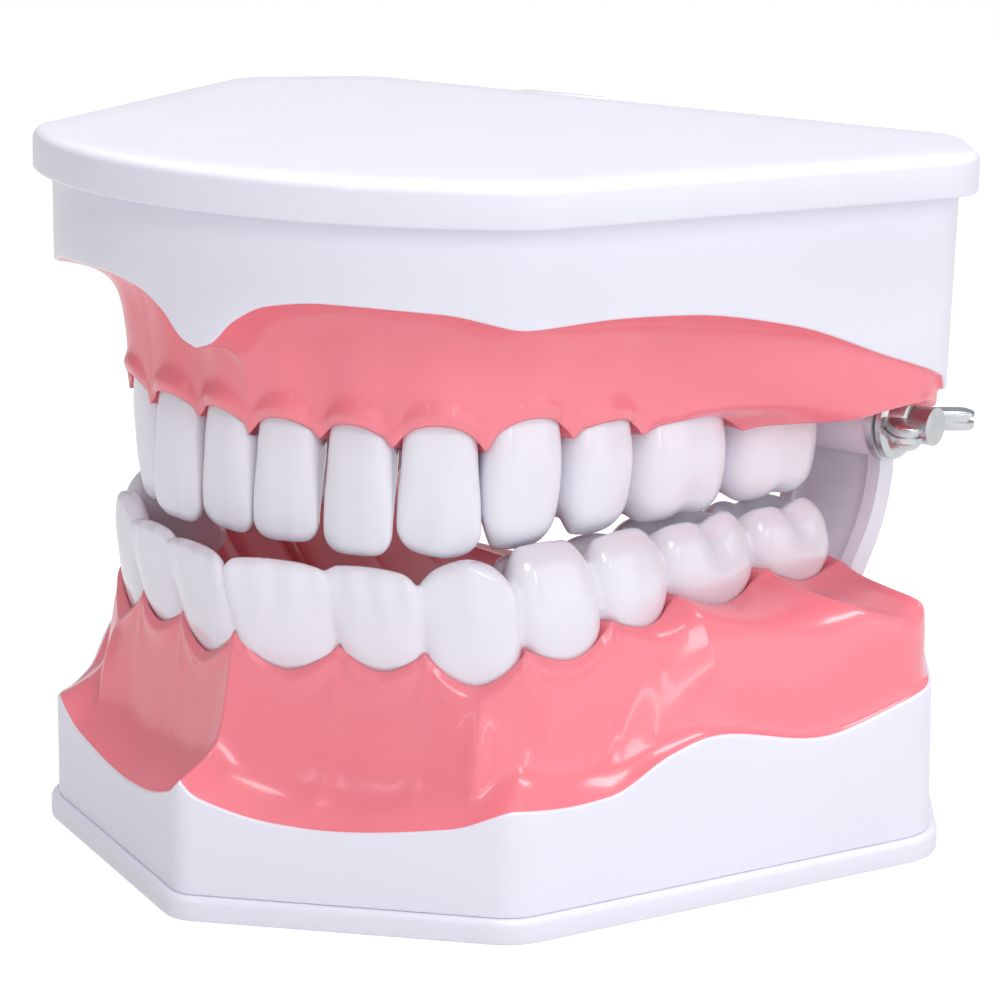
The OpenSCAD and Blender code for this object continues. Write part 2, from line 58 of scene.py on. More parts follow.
LOWER_BODY, UPPER_BODY = "lower_jaw", "upper_jaw"


def box_mm(node):
    low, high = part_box(node)
    return np.array(low) / MM, np.array(high) / MM


# ---- places taken from the frame --------------------------------------------------------------

_, back_y, plate_t = box_mm("base_plate")[1]
front_y = -back_y
jaw_hinge = next(j for j in frame["joints"] if j["name"] == "jaw_hinge")
hinge_y, hinge_z = jaw_hinge["pos_m"][1] / MM, jaw_hinge["pos_m"][2] / MM
CLOSED_H = 106.2  # underside of the base plate to the top of the lid, jaws closed
REST_OPEN = 2.1  # degrees the upper jaw is opened at rest
FIT = 0.1  # gap between a shell and its plate or lid


def opened(points):
    """Points turned about the hinge from closed jaws to the pose at rest."""
    a = math.radians(-REST_OPEN)
    p = np.array(points, float)
    y, z = p[..., 1] - hinge_y, p[..., 2] - hinge_z
    return np.stack([p[..., 0], hinge_y + y * math.cos(a) - z * math.sin(a),
                     hinge_z + y * math.sin(a) + z * math.cos(a)], axis=-1)


def lifted(points):
    """Points of the upper jaw, turned over and opened about the hinge."""
    return opened(np.array(points, float) * [1, 1, -1] + [0, 0, CLOSED_H])


# ---- curves -----------------------------------------------------------------------------------

def smooth_through(keys, x):
    """Value at x of a monotone cubic curve through (position, value) keys."""
    px, py = np.array(keys, float).T
    h = np.diff(px)
    d = np.diff(py) / h
    m = np.zeros(len(px))
    w1, w2 = 2 * h[1:] + h[:-1], h[1:] + 2 * h[:-1]
    same = d[:-1] * d[1:] > 0
    a, b = np.where(same, d[:-1], 1), np.where(same, d[1:], 1)
    m[1:-1] = np.where(same, (w1 + w2) / (w1 / a + w2 / b), 0)
    m[0], m[-1] = d[0], d[-1]
    x = np.clip(np.asarray(x, float), px[0], px[-1])
    i = np.clip(np.searchsorted(px, x, "right") - 1, 0, len(h) - 1)
    t = (x - px[i]) / h[i]
    return ((1 + 2 * t) * (1 - t) ** 2 * py[i] + t * (1 - t) ** 2 * h[i] * m[i]
            + t * t * (3 - 2 * t) * py[i + 1] + t * t * (t - 1) * h[i] * m[i + 1])


def step(x, low, high):
    """0 below low, 1 above high, smooth between."""
    t = np.clip((np.asarray(x, float) - low) / (high - low), 0, 1)
    return t * t * (3 - 2 * t)


def bump(x, width):
    return np.exp(-(np.asarray(x, float) / width) ** 2)


# ---- the two jaws -----------------------------------------------------------------------------
# An outline has a parameter u: 0 the front midline, 1 the canine corner, 2 the side corner,
# 3 the back corner, 3.5 the back midline, and 7 - u on the left.

CORNERS = [
    np.array([[0, front_y], [46.5, front_y + 22], [76.3, front_y + 89.5], [62.9, back_y]]),
    np.array([[0, front_y + 4.1], [47.8, front_y + 23.4], [73.4, front_y + 99.7],
              [58.7, front_y + 119.5]])]
CORNER_LENGTH = [3, 4, 6, 6]  # length of edge taken by each rounded corner
WALL_IN = [1.25, 2.8]  # shell wall set in from the plate's edge
WALL_T = 2.6
LID_T = 2.2
LIP_H = 6.4  # height of the lid's lip over its outer face
DRAFT = 0.012  # lean of the shell walls, per millimetre of height
SHELL_EDGE_R = 0.45

# Height of the white edge of each shell along u.
EDGE = [
    [(0, 20.8), (0.09, 18.1), (0.29, 15.4), (0.45, 14.8), (0.8, 16.4), (1, 19.5), (1.13, 18.9),
     (1.22, 19.3), (1.36, 23.9), (1.46, 25.6), (1.72, 22.3), (2, 26.4), (2.3, 26.8), (3.5, 26.8)],
    [(0, 26.3), (0.05, 25.4), (0.13, 21.8), (0.24, 19.1), (0.42, 18.0), (0.75, 18.6), (1, 20.7),
     (1.2, 20.2), (1.35, 20.6), (1.6, 23.8), (1.84, 30.2), (2, 34), (2.2, 36.5), (3.5, 36.5)]]


def arc_point(tip, corner, f):
    sag = corner[1] - tip[1]
    r = (corner[0] ** 2 + sag ** 2) / (2 * sag)
    half = math.asin(corner[0] / r)
    return np.array([r * math.sin(half * f), tip[1] + r * (1 - math.cos(half * f))])


def sharp_outline(jaw, u):
    """Point on the outline before its corners are rounded, u from -1 to 4."""
    c = CORNERS[jaw]
    if u < 0:
        return sharp_outline(jaw, -u) * [-1, 1]
    if u >= 3:
        return c[3] + (c[3] * [-1, 1] - c[3]) * (u - 3)
    if jaw == TOP and u < 1:
        return arc_point(c[0], c[1], u)
    i = int(u)
    return c[i] + (c[i + 1] - c[i]) * (u - i)


def outline(jaw, u):
    if u > 3.5:
        return outline(jaw, 7 - u) * [-1, 1]
    i = min(round(u), 3)
    length = [np.linalg.norm(sharp_outline(jaw, k + 1) - sharp_outline(jaw, k)) for k in (i - 1, i)]
    before, after = CORNER_LENGTH[i] / length[0], CORNER_LENGTH[i] / length[1]
    f = (u - i) / (before if u < i else after)
    if abs(f) >= 1 or (jaw == TOP and i == 0):
        return sharp_outline(jaw, u)
    t = (1 + f) / 2
    return ((1 - t) ** 2 * sharp_outline(jaw, i - before) + 2 * t * (1 - t) * sharp_outline(jaw, i)
            + t * t * sharp_outline(jaw, i + after))


def outline_and_normal(jaw, u):
    """Point on the outline and the direction inwards from it."""
    e = 0.015
    t = outline(jaw, (u + e) % 7) - outline(jaw, (u - e) % 7)
    t = t / np.linalg.norm(t)
    return outline(jaw, u), np.array([-t[1], t[0]])


def half_u(u):
    return np.where(np.asarray(u) > 3.5, 7 - np.asarray(u), u)


def edge_h(jaw, u):
    return smooth_through(EDGE[jaw], half_u(u))


def corner_rich(count):
    """Outline parameters all the way round, closer together at the corners."""
    steps = np.linspace(0, 1, count, endpoint=False)
    steps = steps - 0.8 * np.sin(2 * math.pi * steps) / (2 * math.pi)
    return np.concatenate([i + steps for i in range(7)])


# ---- meshes -----------------------------------------------------------------------------------

def tube(rings, cap_start=None, cap_end=None, looped=False):
    """Points and faces of a surface through closed rings, with each end closed to a point."""
    rings = np.array(rings, float)
    m, n = rings.shape[:2]
    points = [tuple(p) for p in rings.reshape(-1, 3)]
    faces = []
    for k in range(m if looped else m - 1):
        a0, b0 = k * n, (k + 1) % m * n
        for i in range(n):
            j = (i + 1) % n
            faces.append((a0 + i, a0 + j, b0 + j, b0 + i))
    for cap, row in ((cap_start, 0), (cap_end, m - 1)):
        if cap is not None:
            points.append(tuple(cap))
            faces += [(row * n + i, row * n + (i + 1) % n, len(points) - 1) for i in range(n)]
    return np.array(points), faces


def joined(parts):
    """One set of points and faces from several."""
    points, faces = [], []
    for p, f in parts:
        base = sum(len(q) for q in points)
        points.append(np.asarray(p, float))
        faces += [tuple(base + i for i in face) for face in f]
    return np.concatenate(points), faces


def mirrored(part):
    points, faces = part
    return np.asarray(points) * [-1, 1, 1], faces


def make(name, part, body, material, replaced=(), sharp=None):
    """A piece from points in millimetres, riding on a body and standing for CAD nodes."""
    points, faces = part
    mesh = bpy.data.meshes.new(name)
    mesh.from_pydata((np.asarray(points) * MM).tolist(), [], faces)
    bm = bmesh.new()
    bm.from_mesh(mesh)
    bmesh.ops.recalc_face_normals(bm, faces=bm.faces)
    bm.to_mesh(mesh)
    bm.free()
    mesh.shade_smooth()
    if sharp:
        mesh.set_sharp_from_angle(angle=math.radians(sharp))
    mesh.materials.append(material)
    obj = bpy.data.objects.new(name, mesh)
    bpy.context.scene.collection.objects.link(obj)
    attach(obj, body)
    if replaced:
        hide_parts(*replaced)
    return obj


# ---- materials --------------------------------------------------------------------------------

def plastic(name, colour, rough, vary=0.02, subsurface=0.0, grain=0.03, coat=0.3):
    """Glossy moulded plastic: faint colour drift, uneven gloss and a fine orange-peel bump."""
    mat = bpy.data.materials.new(name)
    mat.use_nodes = True
    nodes, links = mat.node_tree.nodes, mat.node_tree.links
    shader = nodes["Principled BSDF"]
    place = nodes.new("ShaderNodeTexCoord")

    def noise(scale, detail):
        n = nodes.new("ShaderNodeTexNoise")
        n.inputs["Scale"].default_value = scale
        n.inputs["Detail"].default_value = detail
        links.new(place.outputs["Object"], n.inputs["Vector"])
        return n

    drift = noise(28, 1)
    ramp = nodes.new("ShaderNodeValToRGB")
    ramp.color_ramp.elements[0].position = 0.2
    ramp.color_ramp.elements[1].position = 0.8
    ramp.color_ramp.elements[0].color = (*[c * (1 - vary) for c in colour], 1)
    ramp.color_ramp.elements[1].color = (*[min(1, c * (1 + vary)) for c in colour], 1)
    links.new(drift.outputs["Fac"], ramp.inputs["Fac"])
    links.new(ramp.outputs["Color"], shader.inputs["Base Color"])
    gloss = nodes.new("ShaderNodeMapRange")
    gloss.inputs["To Min"].default_value = rough * 0.93
    gloss.inputs["To Max"].default_value = rough * 1.08
    links.new(noise(120, 4).outputs["Fac"], gloss.inputs["Value"])
    links.new(gloss.outputs["Result"], shader.inputs["Roughness"])
    peel = nodes.new("ShaderNodeBump")
    peel.inputs["Strength"].default_value = grain
    peel.inputs["Distance"].default_value = 0.0004
    links.new(noise(520, 2).outputs["Fac"], peel.inputs["Height"])
    links.new(peel.outputs["Normal"], shader.inputs["Normal"])
    shader.inputs["Coat Weight"].default_value = coat
    shader.inputs["Coat Roughness"].default_value = 0.06
    shader.inputs["Subsurface Weight"].default_value = subsurface
    shader.inputs["Subsurface Radius"].default_value = (0.004, 0.002, 0.002)
    shader.inputs["Subsurface Scale"].default_value = 1.0
    return mat


def plated_metal(name, colour, rough):
    """Zinc plating: mottled brightness and fine scuffs."""
    mat = bpy.data.materials.new(name)
    mat.use_nodes = True
    nodes, links = mat.node_tree.nodes, mat.node_tree.links
    shader = nodes["Principled BSDF"]
    place = nodes.new("ShaderNodeTexCoord")
    mottle = nodes.new("ShaderNodeTexNoise")
    mottle.inputs["Scale"].default_value = 260
    mottle.inputs["Detail"].default_value = 5
    links.new(place.outputs["Object"], mottle.inputs["Vector"])
    ramp = nodes.new("ShaderNodeValToRGB")
    ramp.color_ramp.elements[0].position = 0.3
    ramp.color_ramp.elements[1].position = 0.75
    ramp.color_ramp.elements[0].color = (*[c * 0.75 for c in colour], 1)
    ramp.color_ramp.elements[1].color = (*colour, 1)
    links.new(mottle.outputs["Fac"], ramp.inputs["Fac"])
    links.new(ramp.outputs["Color"], shader.inputs["Base Color"])
    scuff = nodes.new("ShaderNodeMapRange")
    scuff.inputs["To Min"].default_value = rough * 0.7
    scuff.inputs["To Max"].default_value = rough * 1.4
    links.new(mottle.outputs["Fac"], scuff.inputs["Value"])
    links.new(scuff.outputs["Result"], shader.inputs["Roughness"])
    dents = nodes.new("ShaderNodeBump")
    dents.inputs["Strength"].default_value = 0.15
    dents.inputs["Distance"].default_value = 0.0003
    links.new(mottle.outputs["Fac"], dents.inputs["Height"])
    links.new(dents.outputs["Normal"], shader.inputs["Normal"])
    shader.inputs["Metallic"].default_value = 1.0
    return mat


shell_white = plastic("shell_white_plastic", (0.80, 0.79, 0.90), 0.30)
tooth_white = plastic("tooth_white_plastic", (0.82, 0.81, 0.90), 0.20, subsurface=0.05, coat=0.5)
gum_pink = plastic("gum_pink_plastic", (0.92, 0.235, 0.29), 0.26, vary=0.012, subsurface=0.05)
zinc = plated_metal("zinc_plating", (0.74, 0.76, 0.78), 0.28)


# ---- shells and plates ------------------------------------------------------------------------

ROUND = np.radians(np.linspace(0, 90, 6))
PRY_TAB_X = -18


def outline_ring(jaw, params, inwards, heights):
    rows = [outline_and_normal(jaw, u) for u in params]
    heights = np.broadcast_to(heights, len(params))
    inwards = np.broadcast_to(inwards, len(params))
    return np.array([[*(p + d * n), z] for (p, n), d, z in zip(rows, inwards, heights)])


def drawn_in(ring, centre, share=0.9):
    """The same ring, smaller about a centre."""
    return np.array([[*(np.array(centre) + (p[:2] - centre) * share), p[2]] for p in ring])


def base_plate():
    params = corner_rich(28)
    r = 0.9
    rings = [outline_ring(BOTTOM, params, 0.45, 0)]
    rings += [outline_ring(BOTTOM, params, 0.45 * (1 - math.sin(a)), 0.45 * (1 - math.cos(a)))
              for a in ROUND[1:]]
    rings += [outline_ring(BOTTOM, params, r * (1 - math.cos(a)), plate_t - r + r * math.sin(a))
              for a in ROUND]
    rings.append(drawn_in(rings[-1], (0, 0)))
    return tube(rings, (0, 0, 0), (0, 0, plate_t))


def shell(jaw):
    """Wall of a shell, from its foot at the plate to its shaped edge, rounded over."""
    params = corner_rich(60)
    foot = plate_t if jaw == BOTTOM else LID_T
    top = edge_h(jaw, params)
    r = SHELL_EDGE_R
    lean = WALL_IN[jaw] + DRAFT * (top - r)
    rings = [outline_ring(jaw, params, WALL_IN[jaw] + WALL_T, foot + FIT),
             outline_ring(jaw, params, WALL_IN[jaw], foot + FIT)]
    rings += [outline_ring(jaw, params, WALL_IN[jaw] + DRAFT * (foot + (top - foot) * t),
                           foot + (top - foot) * t) for t in (0.2, 0.4, 0.6, 0.8)]
    rings += [outline_ring(jaw, params, lean + r * (1 - math.cos(a)), top - r + r * math.sin(a))
              for a in ROUND]
    rings.append(outline_ring(jaw, params, WALL_IN[jaw] + WALL_T, top))
    return tube(rings, looped=True)


def lid():
    params = corner_rich(40)
    r, rim = 1.7, 0.6
    rings = [outline_ring(TOP, params, WALL_IN[TOP] - FIT, LID_T),
             outline_ring(TOP, params, WALL_IN[TOP] - FIT, LIP_H)]
    rings += [outline_ring(TOP, params, rim * (1 - math.sin(a)), LIP_H - rim + rim * math.cos(a))
              for a in ROUND]
    rings += [outline_ring(TOP, params, r * (1 - math.cos(a)), r * (1 - math.sin(a)))
              for a in ROUND]
    rings.append(drawn_in(rings[-1], (0, 5)))
    return tube(rings, (0, 5, LID_T), (0, 5, 0))


def pry_tab():
    """Thumb tab on the back edge of the lid."""
    x, y = PRY_TAB_X, CORNERS[TOP][3][1]
    plan = [(-9.5, -2), (-9, 1.2), (-7.5, 2.3), (7.5, 2.3), (9, 1.2), (9.5, -2)]
    rings = [[(x + px, y + py, z) for px, py in plan] for z in (LIP_H - 0.4, 0.5)]
    rings.append([(x + 0.95 * px, y + 0.8 * py, 0.05) for px, py in plan])
    return tube(rings, (x, y, LIP_H - 0.4), (x, y, 0.05))


make("base_plate_moulding", base_plate(), LOWER_BODY, shell_white,
     ["base_plate"], sharp=40)
make("bottom_shell_moulding", shell(BOTTOM), LOWER_BODY, shell_white,
     ["bottom_shell"], sharp=50)
points, faces = shell(TOP)
make("top_shell_moulding", (lifted(points), faces), UPPER_BODY, shell_white,
     ["top_shell"], sharp=50)
points, faces = joined([lid(), pry_tab()])
make("top_lid_moulding", (lifted(points), faces), UPPER_BODY, shell_white,
     ["top_lid"], sharp=50)

# ---- dental arches ----------------------------------------------------------------------------
# The cheek side of each arch, s its length from the midline: a straight front, a bend at the
# canine and a straight side. FRONT_A and SIDE_A are the angles of the straight parts, BEND_AT the
# place where they would meet.

FRONT_Y = [-39.8, -36.3]
FRONT_A = np.radians([20, 9.6])
SIDE_A = np.radians([81.5, 79.3])
BEND_AT = [46, 37.3]
BEND_R = [26, 24.3]


def arch(jaw, s):
    """Point of the arch at s and the direction along it."""
    a0, a1 = FRONT_A[jaw], SIDE_A[jaw]
    r = BEND_R[jaw]
    before = BEND_AT[jaw] - r * math.tan((a1 - a0) / 2)
    bend = r * (a1 - a0)
    a = min(max(a0 + (s - before) / r, a0), a1)
    p = np.array([0, FRONT_Y[jaw]]) + min(s, before) * np.array([math.cos(a0), math.sin(a0)])
    p = p + r * np.array([math.sin(a) - math.sin(a0), math.cos(a0) - math.cos(a)])
    p = p + max(0, s - before - bend) * np.array([math.cos(a1), math.sin(a1)])
    return p, a


# Per tooth from the midline: width, depth, height of its edge or cusps, height of the gum line
# at its middle, depth of the groove between its cusps, and the share of the width lost from the
# cheek side to the tongue side.
TEETH = [
    [(16.2, 10.5, 52.4, 35.3, 0, 0.3), (13, 10, 52.2, 36.3, 0, 0.3), (15, 12, 53.6, 34.8, 0, 0.55),
     (14.7, 16, 54.8, 37.8, 3.2, 0.5), (13.6, 16, 54.4, 40.3, 3.2, 0.2),
     (20, 19, 53.0, 40.3, 3.6, 0.1), (17.8, 19, 51.9, 40.3, 3.6, 0.1)],
    [(11.8, 9.5, 55.8, 37.1, 0, 0.35), (11.9, 9.5, 56.4, 36.8, 0, 0.35),
     (13.7, 11, 56.2, 36.1, 0, 0.6), (15.1, 13.5, 55.7, 35.4, 2.6, 0.5),
     (14.0, 14, 55.0, 37.2, 2.6, 0.2), (20.9, 18, 55.2, 38.9, 3.2, 0.1),
     (20.1, 18, 54.8, 39.0, 3.2, 0.1)]]
PAPILLA = [[40.3, 39.4, 39.4, 40.0, 42.4, 43.6, 43.8, 41.3],
           [40.5, 39.9, 40.0, 40.0, 39.4, 40.6, 42.5, 40.4]]
GAP = [-1.6, 0.35]  # overlap of the fused teeth, gap between the loose ones
SCALLOP = [1.7, 2.3]  # exponent of the gum line between its low point and a papilla
NAMES = ["central_incisor", "lateral_incisor", "canine", "first_premolar", "second_premolar",
         "first_molar", "second_molar"]
STARTS = [np.concatenate([[0], np.cumsum([t[0] for t in TEETH[j]])]) for j in (BOTTOM, TOP)]

# Half width, cheek side and half depth of a crown against its height: 0 at the gum line, 1 at
# its edge. The cheek side is a distance inwards from the arch, the others are shares.
HALF_WIDTH = [[(-0.3, 0.36), (0, 0.42), (0.22, 0.49), (0.5, 0.5), (1, 0.5)],
              [(-0.3, 0.43), (0, 0.47), (0.3, 0.485), (0.65, 0.5), (1, 0.495)]]
BLADE_CHEEK = [[(-0.3, 1.2), (0, 0.1), (0.3, -0.8), (0.7, -0.9), (1, -0.4)],
               [(-0.3, 1.2), (0, 0.1), (0.3, -0.5), (0.7, -0.2), (1, 0.5)]]
BLADE_DEPTH = [(-0.3, 0.36), (0, 0.42), (0.25, 0.44), (0.6, 0.27), (0.85, 0.16), (1, 0.12)]
MOLAR_CHEEK = [(-0.3, 1.4), (0, 0.2), (0.35, -0.8), (0.7, 0.0), (1, 1.9)]
MOLAR_DEPTH = [(-0.3, 0.40), (0, 0.45), (0.35, 0.5), (0.7, 0.46), (1, 0.36)]
# How far the edge of a crown stands outwards of its gum line, per tooth, and towards the midline,
# per boundary between teeth.
LEAN = [[3.2, 2.6, 1.0, 0, 0, 0, 0], [0, 0, -1.8, -0.3, 0, 0, 0]]
TILT = [[0, 1.3, 1.2, 2.6, 2.2, 1.2, 1.2, 1.2], [0] * 8]
SQUARE = 2.8  # exponent of the superellipse a crown is cut to
CORNER_R = [[2.0, 2.4, 4.2, 3.4, 3.4, 3.0, 3.0], [2.6, 2.8, 3.6, 4.0, 3.6, 3.4, 3.4]]


def tooth_frame(jaw, i):
    """Middle of a tooth on the chord of the arch, and its angle."""
    a, b = arch(jaw, STARTS[jaw][i])[0], arch(jaw, STARTS[jaw][i + 1])[0]
    return (a + b) / 2, math.atan2(b[1] - a[1], b[0] - a[0])


def crown_section(jaw, i, f):
    """Half width, cheek side and half depth of a crown at height share f."""
    width, depth, _, _, groove, _ = TEETH[jaw][i]
    w = (width - GAP[jaw]) * smooth_through(HALF_WIDTH[jaw], f)
    cheek = smooth_through(MOLAR_CHEEK if groove else BLADE_CHEEK[jaw], f)
    d = depth * smooth_through(MOLAR_DEPTH if groove else BLADE_DEPTH, f)
    return w, cheek, d


def power(c, e):
    return np.sign(c) * np.abs(c) ** (2 / e)


def crown(jaw, i, count=72):
    """Points and faces of a crown in the jaw's own frame."""
    _, depth, top, gum_line, groove, taper = TEETH[jaw][i]
    tall = top - gum_line
    r = CORNER_R[jaw][i]
    theta = np.linspace(0, 2 * math.pi, count, endpoint=False)
    cx, sy = power(np.cos(theta), SQUARE), power(np.sin(theta), SQUARE)
    cheek_side = step(-np.sin(theta), 0.2, 0.8)
    levels = [(gum_line + tall * f, 0, 0) for f in np.linspace(-0.3, 1 - r / tall, 26)]
    soft = r if groove else min(r, 1.5)
    for a in np.radians(np.linspace(0, 90, 12))[1:]:
        z = top - r + r * math.sin(a)
        over = max(0, z - (top - soft)) / soft
        levels.append((z, r * (1 - math.cos(a)), 1 - math.sqrt(max(0, 1 - over * over))))
    rings = []
    for z, side_round, depth_round in levels:
        f = (z - gum_line) / tall
        w, cheek, d = crown_section(jaw, i, f)
        w = w - side_round * (0.55 if groove else 1)
        tip_d = d - depth_round * (soft * 0.7 if groove else d * 0.8)
        y = cheek + d + tip_d * sy
        x = w * cx * (1 - taper / depth * np.maximum(y, 0))
        place = (x / w + 1) / 2
        tilt = TILT[jaw][i] + (TILT[jaw][i + 1] - TILT[jaw][i]) * np.clip(place, 0, 1)
        ring = shaped(jaw, i, x, y - LEAN[jaw][i] * f, np.full(count, z), f, cheek_side)
        ring[:, 0] -= tilt * f
        rings.append(ring)
    last = rings[-1]
    centre = last.mean(axis=0)
    if groove:
        for t in (0.86, 0.72, 0.58, 0.44, 0.3, 0.16):
            ring = centre + (last - centre) * t
            fossa = 0.75 * groove * step(1 - t, 0.0, 0.75)
            ring[:, 2] = centre[2] + (last[:, 2] - centre[2]) * t ** 0.5 - fossa
            rings.append(ring)
        centre = centre - [0, 0, 0.8 * groove]
    else:
        for t in (0.6, 0.3):
            ring = centre + (last - centre) * t
            ring[:, 2] = centre[2] + (last[:, 2] - centre[2]) * t * t + 0.1
            rings.append(ring)
        centre = centre + [0, 0, 0.12]
    root = rings[0].mean(axis=0) - [0, 0, 1.5]
    mid, a = tooth_frame(jaw, i)
    turn = np.array([[math.cos(a), math.sin(a), 0], [-math.sin(a), math.cos(a), 0], [0, 0, 1]])
    points, faces = tube(rings, root, centre)
    return points @ turn + [mid[0], mid[1], 0], faces


def shaped(jaw, i, x, y, z, f, cheek_side):
    """Cusps, edges and grooves of a crown, moved into one of its rings."""
    width, groove = TEETH[jaw][i][0], TEETH[jaw][i][4]
    share = np.clip(x / (width / 2), -1, 1)
    high = step(f, 0.3, 1)
    if width > 17:  # molars: two cusps along the arch, with a groove between them on each side
        notch = bump(x - 1.0, 2.4)
        deep = 0.34 if jaw == BOTTOM else 0.2
        z = z - high * (deep * groove * notch + 0.5 * groove * np.abs(share) ** 5)
        y = y + 2.2 * deep * notch * cheek_side * step(f, 0.25, 0.8)
        z = z - 0.9 * high * (1 - cheek_side)
    elif groove:  # premolars: a cusp on each side, the one on the tongue side much the lower
        tongue = 3.4 if i == 3 else 2.1
        z = z - high * (1.5 * np.abs(share) ** 2 + tongue * (1 - cheek_side))
    elif i == 2:  # canines
        lean = share - 0.12
        z = z - high * (2.3 if jaw == BOTTOM else 1.1) * np.abs(lean) ** 1.5
        y = y - 0.55 * bump(lean, 0.35) * cheek_side * step(f, 0.2, 0.7)
    else:
        z = z - high * 0.65 * (0.4 * share + np.abs(share) ** 2.4)
        lobes = 0.14 * np.cos(share * 3 * math.pi) * (1 if jaw == BOTTOM else 0.3)
        y = y + lobes * cheek_side * step(f, 0.3, 0.8)
    return np.stack([x, y, z], axis=-1)


def fused(obj, voxel, rounds):
    """Runs overlapping solids of a piece into one skin and softens where they meet."""
    remesh = obj.modifiers.new("fuse", "REMESH")
    remesh.mode = "VOXEL"
    remesh.voxel_size = voxel * MM
    remesh.use_smooth_shade = True
    soften = obj.modifiers.new("soften", "SMOOTH")
    soften.factor = 0.5
    soften.iterations = rounds
    evaluated = obj.evaluated_get(bpy.context.evaluated_depsgraph_get())
    mesh = bpy.data.meshes.new_from_object(evaluated)
    obj.modifiers.clear()
    obj.data = mesh
    mesh.shade_smooth()


bottom_crowns = [crown(BOTTOM, i) for i in range(7)]
fused_arch = make("bottom_tooth_arch_moulding",
                  joined(bottom_crowns + [mirrored(c) for c in bottom_crowns]), LOWER_BODY,
                  tooth_white, ["bottom_tooth_arch"])
fused(fused_arch, 0.4, 4)
for i, name in enumerate(NAMES):
    points, faces = crown(TOP, i)
    for side, part in (("right", (points, faces)), ("left", mirrored((points, faces)))):
        node = f"top_{name}_{side}"
        make(f"{node}_crown", (lifted(part[0]), part[1]), UPPER_BODY, tooth_white,
             [node])

# ---- gums -------------------------------------------------------------------------------------

# Share of the plan distance and of the height, from the white edge in to the gum line: a shelf
# and a steep wall at the front, a wall and a shoulder at the sides, a flat shoulder at the back.
SHELF_FIRST = [
    np.array([(0, 0), (0.07, 0.01), (0.32, 0.07), (0.5, 0.12), (0.66, 0.2), (0.76, 0.4),
              (0.85, 0.68), (0.95, 0.92), (1.0, 1.0)]),
    np.array([(0, 0), (0.07, 0.0), (0.35, 0.02), (0.6, 0.06), (0.8, 0.15), (0.92, 0.33),
              (0.98, 0.6), (1.0, 0.88), (1.0, 1.0)])]
WALL_FIRST = np.array([(0, 0), (0.07, 0.01), (0.1, 0.1), (0.1, 0.35), (0.14, 0.62), (0.28, 0.85),
                       (0.55, 0.98), (0.88, 1.02), (1.0, 1.0)])
SQUARE_SHOULDER = np.array([(0, 0), (0.04, 0.02), (0.05, 0.2), (0.05, 0.5), (0.06, 0.72),
                            (0.12, 0.79), (0.45, 0.81), (0.88, 0.88), (1.0, 1.0)])
FLAT_BACK = np.array([(0, 0), (0.04, 0.05), (0.05, 0.3), (0.05, 0.6), (0.06, 0.85),
                      (0.12, 0.94), (0.45, 0.98), (0.8, 1.0), (1.0, 1.0)])
SHELF_ENDS = [(1.12, 1.65), (1.4, 1.95)]  # where along u the shelf gives way to the wall
SHOULDER_STARTS, BACK_STARTS = (1.65, 1.95), (2.2, 2.4)
PROUD = [[0.2] * 7, [1.0, 1.1, 1.1, 0.9, 0.7, 0.6, 0.5]]  # gum margin outside the tooth
ROOTS = [[0.4, 0.35, 1.3, 0.4, 0.3, 0.3, 0.2], [1.0, 1.0, 0.6, 0.9, 0.7, 0.5, 0.3]]  # bulges
# Outline parameter against length along the arch, then the gum inside the arch and behind it.
ARCH_U = [[(0, 0), (1, 45), (2, 100), (2.25, 110.3)], [(0, 0), (1, 37.3), (2, 97), (2.2, 107.5)]]
FLOOR_H = [28, 26]
FOOT = [np.array([(0, -12), (16, -4), (22, 38), (19, 40)]),
        np.array([(0, -11), (13, -5), (20, 38), (17, 41)])]
OUT_BACK = [np.array([(58.5, 45.5), (50, 50.5), (0, 50)]), np.array([(55, 46), (47, 52), (0, 52)])]
IN_BACK = [np.array([(34, 45), (28, 47), (0, 46)]), np.array([(31, 45), (26, 48), (0, 48)])]
BACK_H = [[(0, 37.6), (0.2, 36.4), (0.4, 34.2), (0.6, 31), (1, 28.4)],
          [(0, 38.5), (0.35, 37), (0.6, 36.8), (1, 36.8)]]
LINGUAL_H = [43.0, 41.5]


def spline(controls, count):
    """Points of a uniform cubic B-spline that starts and ends at its first and last control."""
    c = np.asarray(controls, float)
    c = np.concatenate([[2 * c[0] - c[1]], c, [2 * c[-1] - c[-2]]])
    t = np.linspace(0, len(c) - 3 - 1e-9, count)
    k = t.astype(int)
    f = (t - k)[:, None]
    return ((1 - f) ** 3 * c[k] + (3 * f ** 3 - 6 * f ** 2 + 4) * c[k + 1]
            + (-3 * f ** 3 + 3 * f ** 2 + 3 * f + 1) * c[k + 2] + f ** 3 * c[k + 3]) / 6


def polyline(points, t):
    """Point at share t of a polyline, by its control points."""
    k = np.linspace(0, 1, len(points))
    return np.array([np.interp(t, k, points[:, 0]), np.interp(t, k, points[:, 1])])


def gum_line(jaw, s):
    """Tooth at s, place across it (-1 to 1) and height of the gum line on the cheek side."""
    i = int(np.clip(np.searchsorted(STARTS[jaw], s, "right") - 1, 0, 6))
    x = s - (STARTS[jaw][i] + STARTS[jaw][i + 1]) / 2
    share = x / (TEETH[jaw][i][0] / 2)
    papilla = PAPILLA[jaw][i + (share > 0)]
    low = TEETH[jaw][i][3]
    return i, x, share, low + (papilla - low) * min(1, abs(share)) ** SCALLOP[jaw]


